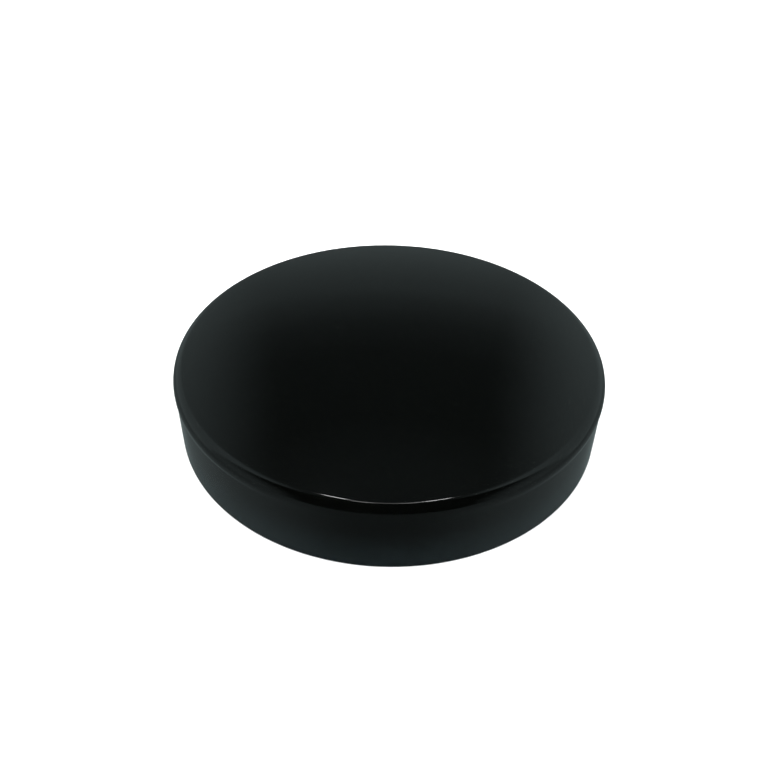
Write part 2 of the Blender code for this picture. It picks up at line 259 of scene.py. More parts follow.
def moulded_black_plastic(m, colour):
    """Glass-filled black nylon: spark-eroded grain, pale flow swirls and a little handling shine."""
    grain = m.cells(2600.0)
    swirl = m.noise(95.0, 5.0, 0.6, stretch=(1.0, 1.0, 2.5))
    fibre = m.noise(1500.0, 2.0, stretch=(5.0, 1.0, 1.0))
    tint = m.mix(colour, (0.040, 0.040, 0.042), swirl.smooth(0.45, 0.75) * 0.7)
    tint = m.mix(tint, (0.075, 0.075, 0.075), fibre.smooth(0.68, 0.80) * 0.35)
    normal = m.bump(grain, 0.22, 0.00004, m.bump(fibre, 0.12, 0.00003))
    return m.surface({"Base Color": tint, "Roughness": 0.44 + swirl * 0.16, "IOR": 1.5, "Normal": normal})


def closed_cell_foam(m, colour):
    """Grey rubber foam with a skin of small open cells."""
    cell = m.cells(1500.0)
    wall = m.cells(1500.0, "DISTANCE_TO_EDGE")
    fine = m.noise(3200.0, 3.0)
    mottle = m.noise(130.0, 4.0)
    tint = m.mix((0.020, 0.020, 0.021), colour, wall.smooth(0.0, 0.16))
    tint = m.mix(tint, (0.085, 0.085, 0.088), mottle.smooth(0.5, 0.8) * 0.5)
    normal = m.bump(cell.smooth(0.0, 0.6), 0.6, 0.00012, m.bump(fine, 0.3, 0.00004))
    return m.surface({"Base Color": tint, "Roughness": 0.82 + mottle * 0.15, "Normal": normal})


def zinc_plate(m, colour):
    """Bright zinc on steel: cloudy tone, fine drawn lines and a faint blue-gold passivate."""
    cloud = m.noise(260.0, 5.0, 0.6)
    lines = m.noise(1900.0, 2.0, stretch=(1.0, 8.0, 1.0))
    tint = m.mix(colour, (0.40, 0.43, 0.48), cloud.smooth(0.35, 0.6))
    tint = m.mix(tint, (0.52, 0.47, 0.34), cloud.smooth(0.58, 0.78) * 0.5)
    return m.metal(tint, 0.26 + cloud * 0.2, m.bump(lines, 0.15, 0.00003))


def blued_spring_steel(m, colour):
    """Heat-blued spring strip with stamping lines and rubbed spots."""
    temper = m.noise(330.0, 3.0)
    rubbed = m.noise(800.0, 4.0, 0.65).smooth(0.60, 0.74)
    tint = m.mix(colour, (0.07, 0.09, 0.16), temper.smooth(0.4, 0.65))
    tint = m.mix(tint, (0.36, 0.35, 0.34), rubbed * 0.6)
    lines = m.noise(1500.0, 2.0, stretch=(9.0, 1.0, 1.0))
    return m.metal(tint, 0.28 + temper * 0.16, m.bump(lines, 0.2, 0.00003))


def turned_stainless(m, colour):
    """Bright turned stainless: fine feed lines across the axis and slightly dull valleys."""
    feed = m.noise(900.0, 2.0, stretch=(14.0, 1.0, 1.0))
    smear = m.noise(420.0, 4.0)
    tint = m.mix(colour, (0.38, 0.38, 0.39), smear.smooth(0.45, 0.75) * 0.6)
    return m.metal(tint, 0.2 + smear * 0.18, m.bump(feed, 0.18, 0.00003))


def natural_acetal(m, colour):
    """Ivory acetal, slightly see-through in the real thing, with turning rings and a grey smear."""
    rings = m.noise(700.0, 2.0, stretch=(10.0, 1.0, 1.0))
    smear = m.noise(520.0, 4.0, 0.6).smooth(0.55, 0.8)
    tint = m.mix(colour, (0.48, 0.47, 0.44), smear * 0.45)
    return m.surface(
        {
            "Base Color": tint,
            "Roughness": 0.36 + smear * 0.2,
            "Subsurface Weight": 0.15,
            "Subsurface Radius": (0.0012, 0.0010, 0.0008),
            "Subsurface Scale": 1.0,
            "Normal": m.bump(rings, 0.12, 0.00003),
        }
    )


def weld_metal(m, colour):
    """A weld bead: rippled, heat-tinted steel with dark oxide at its edge."""
    ripple = m.noise(1300.0, 3.0)
    heat = m.noise(500.0, 3.0)
    tint = m.mix(colour, (0.16, 0.12, 0.10), heat.smooth(0.45, 0.7))
    return m.metal(tint, 0.34 + heat * 0.25, m.bump(ripple, 0.5, 0.00008))


# ---------------------------------------------------------------- mesh tools


def new_object(name, mesh):
    made = bpy.data.objects.new(name, mesh)
    bpy.context.scene.collection.objects.link(made)
    return made


def bmesh_object(name, solid):
    mesh = bpy.data.meshes.new(name)
    bmesh.ops.recalc_face_normals(solid, faces=solid.faces)
    solid.to_mesh(mesh)
    solid.free()
    return new_object(name, mesh)


def arc(centre, radius, start, end, steps):
    """Points (radius, height) along an arc, with angles above the outward horizontal."""
    across, up = centre
    turn = (end - start) / steps
    return [
        (across + radius * math.cos(start + turn * i), up + radius * math.sin(start + turn * i))
        for i in range(steps + 1)
    ]


def circle(radius, steps):
    return [
        (radius * math.cos(FULL_TURN * i / steps), radius * math.sin(FULL_TURN * i / steps))
        for i in range(steps)
    ]


def rounded(corners, radius, steps=3):
    """A closed outline with its corners rounded. A corner may give its own radius as a third number."""
    made = []
    count = len(corners)
    for i, corner in enumerate(corners):
        here = Vector(corner[:2])
        own = corner[2] if len(corner) > 2 else radius
        before = Vector(corners[i - 1][:2])
        after = Vector(corners[(i + 1) % count][:2])
        back, ahead = before - here, after - here
        own = min(own, 0.45 * back.length, 0.45 * ahead.length)
        if own <= 0:
            made.append((here.x, here.y))
            continue
        start = here + back.normalized() * own
        end = here + ahead.normalized() * own
        for k in range(steps + 1):
            t = k / steps
            point = start * (1 - t) ** 2 + here * (2 * t * (1 - t)) + end * t**2
            made.append((point.x, point.y))
    return made


def turned(name, profile, steps):
    """A shape turned about Z from (radius, height) points.

    A line that starts on the axis gets a pole there. Any other line is closed to a ring.
    """
    solid = bmesh.new()
    rings = []
    for across, up in profile:
        if across < MERGE:
            rings.append([solid.verts.new((0, 0, up))])
            continue
        rings.append([solid.verts.new((x, y, up)) for x, y in circle(across, steps)])
    pairs = list(zip(rings, rings[1:]))
    if len(rings[0]) > 1:
        pairs.append((rings[-1], rings[0]))
    for first, second in pairs:
        if len(first) == 1 and len(second) == 1:
            continue
        for i in range(steps):
            j = (i + 1) % steps
            corners = [first[i % len(first)], first[j % len(first)]]
            corners += [second[j % len(second)], second[i % len(second)]]
            solid.faces.new(list(dict.fromkeys(corners)))
    return bmesh_object(name, solid)


def prism(name, outline, low, high):
    """A straight prism on an outline of (x, y) points, from low to high along Z."""
    solid = bmesh.new()
    base = [solid.verts.new((x, y, low)) for x, y in outline]
    face = solid.faces.new(base)
    grown = bmesh.ops.extrude_face_region(solid, geom=[face])
    top = [item for item in grown["geom"] if isinstance(item, bmesh.types.BMVert)]
    bmesh.ops.translate(solid, verts=top, vec=(0, 0, high - low))
    return bmesh_object(name, solid)


def tube(name, rings):
    """A closed mesh over a row of rings of points, with flat ends."""
    solid = bmesh.new()
    rings = [[solid.verts.new(point) for point in ring] for ring in rings]
    around = len(rings[0])
    for first, second in zip(rings, rings[1:]):
        for i in range(around):
            j = (i + 1) % around
            solid.faces.new((first[i], first[j], second[j], second[i]))
    solid.faces.new(rings[0])
    solid.faces.new(rings[-1])
    return bmesh_object(name, solid)


def capsule(ends, radius, steps=10):
    """Outline of a slot along X with round ends."""
    first, second = ends
    start = arc((first, 0), radius, QUARTER_TURN, 3 * QUARTER_TURN, steps)
    return start + arc((second, 0), radius, -QUARTER_TURN, QUARTER_TURN, steps)


def place(piece, turn):
    """Moves a piece's mesh by a matrix and leaves its object at the origin."""
    piece.data.transform(turn)
    piece.data.update()
    return piece


def across_axis(side, distance):
    """Carries a piece made along +Z to the screws' axis, distance out, its Z pointing at the post."""
    return (
        Matrix.Translation((side * distance, 0, SCREW_AXIS_HEIGHT))
        @ Euler((0, -side * QUARTER_TURN, 0)).to_matrix().to_4x4()
    )


def apply_modifiers(piece):
    """Turns a piece's modifiers into its mesh."""
    bpy.context.view_layer.update()
    evaluated = piece.evaluated_get(bpy.context.evaluated_depsgraph_get())
    mesh = bpy.data.meshes.new_from_object(evaluated)
    old = piece.data
    piece.modifiers.clear()
    piece.data = mesh
    bpy.data.meshes.remove(old)
    return piece


def combine(piece, other, operation):
    """Cuts or joins other to piece, then removes other."""
    change = piece.modifiers.new("combine", "BOOLEAN")
    change.operation = operation
    change.solver = "MANIFOLD"
    change.object = other
    apply_modifiers(piece)
    bpy.data.objects.remove(other)
    return piece


def merge_meshes(name, pieces):
    """One object with the meshes of several, which stay separate closed shells."""
    solid = bmesh.new()
    for piece in pieces:
        solid.from_mesh(piece.data)
        bpy.data.objects.remove(piece)
    return bmesh_object(name, solid)


def soften_edges(piece, width, segments=2, angle=35):
    """Rounds a piece's sharp edges by a bevel."""
    bevel = piece.modifiers.new("edges", "BEVEL")
    bevel.width = width
    bevel.segments = segments
    bevel.limit_method = "ANGLE"
    bevel.angle_limit = math.radians(angle)
    return apply_modifiers(piece)


def shade(piece, angle=32):
    piece.data.shade_smooth()
    piece.data.set_sharp_from_angle(angle=math.radians(angle))
    return piece


def weigh_normals(piece):
    """Lets large faces set the shading, so that flat and curved parts meet without a dark line."""
    weigh = piece.modifiers.new("shading", "WEIGHTED_NORMAL")
    weigh.keep_sharp = True


def face_inwards(piece):
    """Turns every face towards the middle of the room."""
    solid = bmesh.new()
    solid.from_mesh(piece.data)
    solid.normal_update()
    bottom = min(solid.faces, key=lambda face: face.calc_center_median().z)
    if bottom.normal.z < 0:
        bmesh.ops.reverse_faces(solid, faces=solid.faces)
    solid.to_mesh(piece.data)
    solid.free()


def finish_piece(piece, material, body, slot, *nodes):
    """Gives a piece its material and its body, and hides the CAD nodes it stands for. slot is not used.
    """
    piece.data.materials.clear()
    piece.data.materials.append(material)
    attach(piece, body)
    if nodes:
        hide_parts(*nodes)
    return piece


# ---------------------------------------------------------------- sizes and colours a user would change


def length(name, description, default, most=100 * MM):
    return bpy.props.FloatProperty(
        name=name,
        description=description,
        default=default,
        min=0,
        max=most,
        subtype="DISTANCE",
        unit="LENGTH",
    )


def amount(name, description, default, most=1.0):
    return bpy.props.FloatProperty(name=name, description=description, default=default, min=0, max=most)


def count(name, description, default):
    return bpy.props.IntProperty(name=name, description=description, default=default, min=2, max=400)


def angle(name, description, default):
    return bpy.props.FloatProperty(
        name=name,
        description=description,
        default=math.radians(default),
        subtype="ANGLE",
        unit="ROTATION",
    )


def tint(name, description, default):
    return bpy.props.FloatVectorProperty(
        name=name,
        description=description,
        default=default,
        size=3,
        min=0,
        max=1,
        subtype="COLOR",
    )


class PostCapShell(bpy.types.PropertyGroup):
    """Sizes and paint of the pressed shell."""

    sheet: length("Sheet", "Thickness of the pressed steel", 1.6 * MM)
    shoulder_radius: length(
        "Shoulder radius", "Outside radius of the edge between dome and skirt", 3.0 * MM
    )
    neck_radius: length("Neck radius", "Radius of the hollow curve under the shoulder", 2.0 * MM)
    dome_rise: length("Dome rise", "From the top of the shoulder's curve up to the dome's top", 4.85 * MM)
    overhang: length("Overhang", "How far the shoulder stands out past the skirt", 0.26 * MM)
    hem: length("Hem radius", "Rounding of the skirt's cut edge", 0.45 * MM)
    hole: length("Hole radius", "Radius of the holes for the nuts' pilots", 4.25 * MM)
    deburr: length("Deburring", "Width of the broken edge round each hole", 0.28 * MM)
    steps: count("Steps", "Sides round the shell", 256)
    paint: tint("Paint", "Colour of the powder coat", (0.0005, 0.0006, 0.0005))
    gloss: amount("Paint roughness", "Low values reflect more sharply", 0.05)
    # The next two set a painted reflection, not dust: the colour of a paler band painted up the skirt,
    # and how far up from the lower edge it reaches.
    painted_reflection: tint("Film", "Colour of the dust by the lower edge", (0.0033, 0.0051, 0.0056))
    reflection_height: length("Film height", "How far up the skirt the dust reaches", 13 * MM)


class PostCapLiner(bpy.types.PropertyGroup):
    """Sizes and plastic of the moulded liner."""

    wall: length("Wall", "Thickness of the liner's wall", 1.8 * MM)
    flange: length("Flange", "Thickness of the flange behind the seal", 1.6 * MM)
    flange_width: length("Flange width", "From the wall's outside inwards", 14.8 * MM)
    fins: count("Fins", "Grip fins round the wall", 24)
    fin_height: length("Fin height", "How far the fins stand in from the wall", 2.8 * MM)
    fin_thickness: length("Fin thickness", "Thickness of each grip fin", 1.2 * MM)
    lead_length: length("Lead-in", "Height of a fin's sloped end", 2.4 * MM)
    lead_depth: length("Lead-in depth", "How deep a fin's slope cuts", 1.8 * MM)
    spokes: count("Spokes", "Ribs from the hub to the wall", 8)
    spoke_thickness: length("Spoke thickness", "Thickness of each rib", 1.8 * MM)
    hub: length("Hub radius", "Radius of the hub round the stud", 10 * MM)
    edge: length("Edge radius", "Rounding of the moulded edges", 0.3 * MM)
    pin: length("Pin mark", "Radius of the ejector pins' marks", 0.75 * MM)
    plastic: tint("Plastic", "Colour of the moulding", (0.016, 0.016, 0.017))


class PostCapSeal(bpy.types.PropertyGroup):
    """Sizes and foam of the post's seal."""

    edge: length("Edge radius", "Rounding of the foam's edges", 0.7 * MM)
    waviness: length("Waviness", "How uneven the cut foam is", 0.07 * MM)
    foam: tint("Foam", "Colour of the rubber foam", (0.050, 0.050, 0.053))


class PostCapFastening(bpy.types.PropertyGroup):
    """Sizes and metals of the stud, its push nut, the weld nuts and the set screws."""

    stud_radius: length("Stud radius", "Radius of the stud's shank", 2.5 * MM)
    groove_pitch: length("Groove pitch", "Spacing of the rings along the stud", 0.8 * MM)
    groove_depth: length("Groove depth", "Depth of the rings along the stud", 0.2 * MM)
    washer: length("Washer", "Thickness of the push nut", 0.55 * MM)
    dish: length("Dish", "How far the push nut's teeth slope down", 0.9 * MM)
    slots: count("Slots across", "Slots right across the push nut", 3)
    thread_radius: length("Thread radius", "Crest radius of the set screws", 2.98 * MM)
    thread_pitch: length("Thread pitch", "Pitch of the set screws", 1.0 * MM)
    thread_depth: length("Thread depth", "Depth of the set screws' thread", 0.52 * MM)
    flats: length("Across flats", "Width of the weld nuts", 10.0 * MM)
    nut_height: length("Nut height", "Thickness of the weld nuts", 4.0 * MM)
    pilot: length("Pilot radius", "Radius of the weld nuts' pilots", 3.95 * MM)
    socket: length("Socket", "Width of the hexagon socket", 3.0 * MM)
    socket_depth: length("Socket depth", "Depth of the hexagon socket", 2.4 * MM)
    point: length("Point radius", "Radius of the screws' dog point", 1.1 * MM)
    point_length: length("Point length", "Length of the dog point", 1.1 * MM)
    bead: length("Weld bead", "Radius of the weld beads", 0.42 * MM)
    zinc: tint("Zinc", "Colour of the plated steel", (0.56, 0.57, 0.58))
    spring: tint("Spring steel", "Colour of the blued strip", (0.16, 0.16, 0.18))
    stainless: tint("Stainless", "Colour of the set screws", (0.60, 0.60, 0.61))
    weld: tint("Weld", "Colour of the weld metal", (0.26, 0.25, 0.25))
    acetal: tint("Acetal", "Colour of the thrust pads", (0.74, 0.73, 0.69))


class PostCapStudio(bpy.types.PropertyGroup):
    """The floor, the surround, the lights and the camera."""

    floor_radius: length("Floor radius", "Flat part of the floor", 1.0, 5.0)
    cove: length("Cove", "Radius of the curve up to the wall", 0.35, 2.0)
    wall: length("Wall", "Height of the wall behind", 1.1, 5.0)
    floor: tint("Floor", "Colour of the floor and wall", (0.86, 0.86, 0.86))
    sky: amount("Surround", "Strength of the surround", 1.0, 10.0)
    soft_power: amount("Soft light", "Power of the soft lights, in watts", 42.0, 1000.0)
    lamp_glow: amount("Lamps", "Brightness of the ceiling lamps", 2.2, 100.0)
    height: length("Aim height", "Height of the point the camera looks at", 8.57 * MM)
    elevation: angle("Elevation", "How far the camera looks down", 39.35)
    roll: angle("Roll", "Turn of the camera about its own line of sight", 1.243)
    distance: length("Distance", "From the camera to its aim", 233.6 * MM, 2.0)
    lens: amount("Lens", "Focal length on a 36 mm frame, in millimetres", 39.1, 500.0)


# ---------------------------------------------------------------- shell


def dome_sphere(shell):
    """Radius and centre height of the sphere that the dome is part of."""
    reach = SHELL_RADIUS - shell.shoulder_radius
    rise = shell.dome_rise
    full = rise + shell.shoulder_radius
    radius = (reach**2 + full**2 - shell.shoulder_radius**2) / (2 * rise)
    return radius, SHELL_TOP - radius


def under_dome(shell, across):
    """Height of the shell's inside, less the gap to the pieces under it."""
    radius, centre = dome_sphere(shell)
    return centre + math.sqrt((radius - shell.sheet - GAP) ** 2 - across**2)


def shell_line(shell, inset):
    """The shell's outside line from the axis to the neck, or one that lies inset inside it."""
    radius, centre = dome_sphere(shell)
    rim = SHELL_RADIUS - shell.shoulder_radius
    height = SHELL_TOP - shell.dome_rise - shell.shoulder_radius
    slope = math.asin(rim / (radius - shell.shoulder_radius))
    reach = shell.shoulder_radius + shell.neck_radius
    tuck = math.acos(1 - shell.overhang / reach)
    neck = (SHELL_RADIUS - shell.overhang + shell.neck_radius, height - reach * math.sin(tuck))
    start = QUARTER_TURN - slope
    line = arc((0, centre), radius - inset, QUARTER_TURN, start, 48)[1:]
    line += arc((rim, height), shell.shoulder_radius - inset, start, -tuck, 28)[1:]
    line += arc(neck, shell.neck_radius + inset, math.pi - tuck, math.pi, 7)[1:]
    return [(0, centre + radius - inset)] + line


def shell_profile(shell):
    """The whole section: down the outside, round the hem and up the inside."""
    outside = shell_line(shell, 0)
    inside = shell_line(shell, shell.sheet)
    outer, neck_height = outside[-1]
    inner = inside[-1][0]
    rows = [neck_height * i / 8 for i in range(7, 0, -1)]
    hem = arc((outer - shell.hem, shell.hem), shell.hem, 0, -QUARTER_TURN, 6)
    hem += arc((inner + shell.hem, shell.hem), shell.hem, -QUARTER_TURN, -math.pi, 6)
    return (
        outside
        + [(outer, row) for row in rows]
        + hem
        + [(inner, row) for row in reversed(rows)]
        + inside[::-1]
    )


def shell_holes(shell):
    """The cutter for both pilot holes, which flares where it leaves the sheet."""
    outer = shell_line(shell, 0)[-1][0]
    inner = outer - shell.sheet
    flare, hole = shell.deburr, shell.hole
    section = [
        (0, inner - 4 * flare),
        (hole + 4 * flare, inner - 4 * flare),
        (hole, inner),
        (hole, outer - flare),
        (hole + 3 * flare, outer + 2 * flare),
        (0, outer + 2 * flare),
    ]
    cutters = []
    for _, side in SIDES:
        cutter = turned("hole", section, 64)
        turn = Euler((0, side * QUARTER_TURN, 0)).to_matrix().to_4x4()
        place(cutter, Matrix.Translation((0, 0, SCREW_AXIS_HEIGHT)) @ turn)
        cutters.append(cutter)
    return merge_meshes("holes", cutters)


class POSTCAP_OT_shell(bpy.types.Operator):
    """Builds the pressed and painted shell"""

    bl_idname = "postcap.shell"
    bl_label = "Painted Shell"

    def execute(self, context):
        shell = context.scene.post_cap_shell
        piece = turned("painted_shell", shell_profile(shell), shell.steps)
        combine(piece, shell_holes(shell), "DIFFERENCE")
        shade(piece, 40)
        weigh_normals(piece)
        coat = finish_called(
            "gloss_black_paint",
            gloss_black_paint,
            shell.paint,
            shell.gloss,
            shell.painted_reflection,
            shell.reflection_height,
        )
        finish_piece(piece, coat, CAP_BODY, "gloss_black_paint", "cap_shell")
        return {"FINISHED"}


# ---------------------------------------------------------------- liner and seal


def liner_ring(liner, under):
    """The wall and the flange at its top, with rounded edges."""
    inside = LINER_RADIUS - liner.flange_width
    wall = LINER_RADIUS - liner.wall
    top = under + liner.flange
    corners = [
        (inside, top),
        (LINER_RADIUS, top),
        (LINER_RADIUS, LINER_LOW),
        (wall, LINER_LOW),
        (wall, under, 2 * liner.edge),
        (inside, under),
    ]
    return turned("moulded_liner", rounded(corners, liner.edge), 192)


def upright_plate(outline, thickness, edge, turn):
    """A plate in the plane of the axis, from (radius, height) points, with softened edges."""
    plate = prism("plate", outline, -thickness / 2, thickness / 2)
    soften_edges(plate, edge)
    stand = Euler((QUARTER_TURN, 0, 0)).to_matrix().to_4x4()
    return place(plate, Matrix.Rotation(turn, 4, "Z") @ stand)


def liner_fins(liner, under):
    root = LINER_RADIUS - liner.wall
    tip = root - liner.fin_height
    low = LINER_LOW + GAP
    high = under + JOIN
    outline = [
        (tip + liner.lead_depth, low),
        (root + JOIN, low),
        (root + JOIN, high),
        (tip, high),
        (tip, low + liner.lead_length),
    ]
    fins = []
    for i in range(liner.fins):
        turn = FULL_TURN * (i + 0.5) / liner.fins
        if abs(tip * math.sin(turn)) < NUT_SLOT + liner.fin_thickness / 2:
            continue
        fins.append(upright_plate(outline, liner.fin_thickness, liner.edge, turn))
    return merge_meshes("fins", fins)


def liner_spokes(liner, shell, under):
    root = (SEAT_RADIUS + liner.hub) / 2
    wall = LINER_RADIUS - liner.wall
    crown = wall - liner.fin_height
    outline = [(root, under), (wall + JOIN, under), (wall + JOIN, under + liner.flange)]
    for i in range(13):
        across = crown - (crown - root) * i / 12
        outline.append((across, under_dome(shell, across)))
    turns = [FULL_TURN * (i + 0.5) / liner.spokes for i in range(liner.spokes)]
    spokes = [upright_plate(outline, liner.spoke_thickness, liner.edge, turn) for turn in turns]
    return merge_meshes("spokes", spokes)


def liner_hub(liner, shell, under):
    """The hub, with its seat for the push nut, its bore and the room for the stud's foot."""
    top = under_dome(shell, liner.hub)
    corners = [
        (HUB_BORE, SEAT_TOP),
        (HUB_BORE, HUB_FOOT),
        (HUB_ROOM, HUB_FOOT),
        (HUB_ROOM, top),
        (liner.hub, top),
        (liner.hub, under),
        (SEAT_RADIUS, under),
        (SEAT_RADIUS, SEAT_TOP, 0.1 * MM),
    ]
    return turned("hub", rounded(corners, liner.edge), 96)


def hub_clearance(under):
    """What the stud and the push nut need clear through the hub, where spokes run into it."""
    section = [
        (0, SHELL_TOP),
        (HUB_ROOM, SHELL_TOP),
        (HUB_ROOM, HUB_FOOT),
        (HUB_BORE, HUB_FOOT),
        (HUB_BORE, SEAT_TOP),
        (SEAT_RADIUS, SEAT_TOP),
        (SEAT_RADIUS, under - MM),
        (0, under - MM),
    ]
    return turned("clearance", section, 96)


def pin_marks(liner, under):
    """Round ejector marks in the hub's lower rim, between the spokes."""
    rim = (SEAT_RADIUS + liner.hub) / 2
    marks = []
    for i in range(0, liner.spokes, 2):
        turn = FULL_TURN * (i + 1) / liner.spokes
        mark = prism("pin", circle(liner.pin, 24), under - JOIN, under + 0.2 * MM)
        shift = Vector((rim * math.cos(turn), rim * math.sin(turn), 0))
        marks.append(place(mark, Matrix.Translation(shift)))
    return merge_meshes("pins", marks)


def nut_slots(liner):
    """Cutters for the weld nuts, open at the top so that the liner slides up past them."""
    low = NUT_LOW.z - GAP
    inside = LINER_RADIUS - liner.wall - liner.fin_height
    slots = []
    for _, side in SIDES:
        left, right = sorted((side * inside, side * (SHELL_RADIUS + GAP)))
        outline = [(left, -NUT_SLOT), (right, -NUT_SLOT), (right, NUT_SLOT), (left, NUT_SLOT)]
        slots.append(prism("slot", outline, low, SHELL_TOP))
    return merge_meshes("slots", slots)


class POSTCAP_OT_liner(bpy.types.Operator):
    """Builds the moulded liner: wall, flange, fins, spokes and hub"""

    bl_idname = "postcap.liner"
    bl_label = "Moulded Liner"

    def execute(self, context):
        liner = context.scene.post_cap_liner
        shell = context.scene.post_cap_shell
        under = SEAL_HIGH.z + GAP
        piece = liner_ring(liner, under)
        combine(piece, liner_fins(liner, under), "UNION")
        combine(piece, liner_spokes(liner, shell, under), "UNION")
        combine(piece, liner_hub(liner, shell, under), "UNION")
        combine(piece, hub_clearance(under), "DIFFERENCE")
        combine(piece, pin_marks(liner, under), "DIFFERENCE")
        combine(piece, nut_slots(liner), "DIFFERENCE")
        shade(piece)
        weigh_normals(piece)
        plastic = finish_called("black_plastic", moulded_black_plastic, liner.plastic)
        finish_piece(piece, plastic, CAP_BODY, "black_plastic", "grip_liner")
        return {"FINISHED"}


class POSTCAP_OT_seal(bpy.types.Operator):
    """Builds the foam ring that the post's end meets"""

    bl_idname = "postcap.seal"
    bl_label = "Foam Seal"

    def execute(self, context):
        seal = context.scene.post_cap_seal
        outer = node_radius("post_seal")
        inner = outer - SEAL_WIDTH
        middle = (outer + inner) / 2
        low, high = SEAL_LOW.z, SEAL_HIGH.z
        corners = [
            (inner, high, 0.15 * MM),
            (outer, high, 0.15 * MM),
            (outer, low),
            (middle, low, 0),
            (inner, low),
        ]
        piece = turned("foam_seal", rounded(corners, seal.edge, 5), 240)
        rough = seal.waviness
        coarse, fine = 260, 900
        for vertex in piece.data.vertices:
            here = vertex.co
            sway = noise.noise(here * coarse) + 0.6 * noise.noise(here * fine)
            if here.z < (low + high) / 2:
                here.z += rough * (0.5 + 0.5 * sway)
            else:
                shrink = 1 - 0.4 * rough * abs(sway) / outer
                here.x *= shrink
                here.y *= shrink
        shade(piece, 50)
        foam = finish_called("grey_foam", closed_cell_foam, seal.foam)
        finish_piece(piece, foam, CAP_BODY, "grey_foam", "post_seal")
        return {"FINISHED"}


# ---------------------------------------------------------------- stud and push nut


class POSTCAP_OT_stud(bpy.types.Operator):
    """Builds the ringed stud and the weld that holds it under the dome"""

    bl_idname = "postcap.stud"
    bl_label = "Liner Stud"

    def execute(self, context):
        made = context.scene.post_cap_fastening
        shell = context.scene.post_cap_shell
        low, high = STUD_LOW.z, STUD_HIGH.z
        foot = node_radius("liner_stud")
        shank, depth = made.stud_radius, made.groove_depth
        line = [(0, low), (shank - 0.5 * MM, low), (shank, low + 0.5 * MM)]
        rise = low + made.groove_pitch
        while rise + made.groove_pitch < high - 2 * MM:
            line += [
                (shank, rise),
                (shank - depth, rise + 0.3 * made.groove_pitch),
                (shank - depth, rise + 0.45 * made.groove_pitch),
                (shank, rise + 0.75 * made.groove_pitch),
            ]
            rise += made.groove_pitch
        neck = high - FOOT_HEIGHT
        curve, edge = 0.35 * MM, 0.15 * MM
        line += arc((shank + curve, neck - curve), curve, math.pi, QUARTER_TURN, 4)
        line += [(foot - edge, neck), (foot, neck + edge), (foot, high), (0, high)]
        piece = turned("ringed_stud", line, 64)
        shade(piece, 25)
        zinc = finish_called("zinc_steel", zinc_plate, made.zinc)
        finish_piece(piece, zinc, CAP_BODY, "zinc_steel", "liner_stud")
        weld = turned("stud_weld", stud_fillet(shell, foot, high), 96)
        for vertex in weld.data.vertices:
            around = math.atan2(vertex.co.y, vertex.co.x)
            if vertex.co.z < high:
                vertex.co.z -= 0.05 * MM * math.sin(26 * around)
        shade(weld, 60)
        metal = finish_called("weld_metal", weld_metal, made.weld)
        finish_piece(weld, metal, CAP_BODY, "zinc_steel")
        return {"FINISHED"}


def stud_fillet(shell, foot, high):
    """Section of the weld between the stud's foot and the dome."""
    ceiling = under_dome(shell, foot) + GAP - 0.02 * MM
    return [
        (foot - 0.6 * MM, ceiling),
        (foot - 0.6 * MM, high - 0.1 * MM),
        (foot + 0.02 * MM, high - 0.3 * MM),
        (foot + 0.16 * MM, high - 0.12 * MM),
        (foot + 0.26 * MM, ceiling - 0.12 * MM),
        (foot + 0.32 * MM, ceiling),
    ]


class POSTCAP_OT_push_nut(bpy.types.Operator):
    """Builds the dished push nut whose teeth grip the stud"""

    bl_idname = "postcap.push_nut"
    bl_label = "Push Nut"

    def execute(self, context):
        made = context.scene.post_cap_fastening
        rim = node_radius("push_nut")
        top = PUSH_HIGH.z
        bend = rim - 2.6 * MM
        teeth = made.stud_radius + 0.12 * MM
        thick = made.washer
        line = [(teeth, -made.dish), (bend - 0.5 * MM, -0.1 * MM), (bend, 0), (rim, 0)]
        corners = [(across, top + up) for across, up in line]
        corners += [(across, top + up - thick) for across, up in reversed(line)]
        piece = turned("blued_push_nut", rounded(corners, 0.12 * MM), 96)
        outline = capsule((0, rim - 2.7 * MM), 0.4 * MM)
        for i in range(made.slots * 2):
            slot = prism("slot", outline, top - 3 * MM, top + 2 * MM)
            place(slot, Matrix.Rotation(math.pi * i / made.slots, 4, "Z"))
            combine(piece, slot, "DIFFERENCE")
        shade(piece, 30)
        steel = finish_called("spring_steel", blued_spring_steel, made.spring)
        finish_piece(piece, steel, CAP_BODY, "spring_steel", "push_nut")
        return {"FINISHED"}


# ---------------------------------------------------------------- weld nuts, set screws and pads


ROWS_A_TURN = 10  # of points along a thread


def threaded_rod(name, made, grow, low, high, steps=48):
    """A rod along Z with a right-hand thread, whose ends fade out to the thread's root."""
    pitch = made.thread_pitch
    rows = round((high - low) / pitch * ROWS_A_TURN)
    rings = []
    for row in range(rows + 1):
        up = low + (high - low) * row / rows
        fade = min(1.0, min(up - low, high - up) / (0.6 * pitch))
        ring = []
        for i in range(steps):
            turn = FULL_TURN * i / steps
            flank = abs((up / pitch - i / steps) % 1.0 - 0.5)
            crest = fade * min(1.0, max(0.0, 1.4 - 3.1 * flank))
            across = made.thread_radius + grow - made.thread_depth * (1 - crest)
            ring.append((across * math.cos(turn), across * math.sin(turn), up))
        rings.append(ring)
    return tube(name, rings)


def hexagon(across_flats):
    """Corners of a hexagon, two of them along Y."""
    corner = across_flats / math.sqrt(3)
    turns = [FULL_TURN * i / 6 for i in range(6)]
    return [(corner * math.sin(turn), corner * math.cos(turn)) for turn in turns]


def cut_turned(piece, section, operation="DIFFERENCE", steps=64):
    return combine(piece, turned("cut", section, steps), operation)


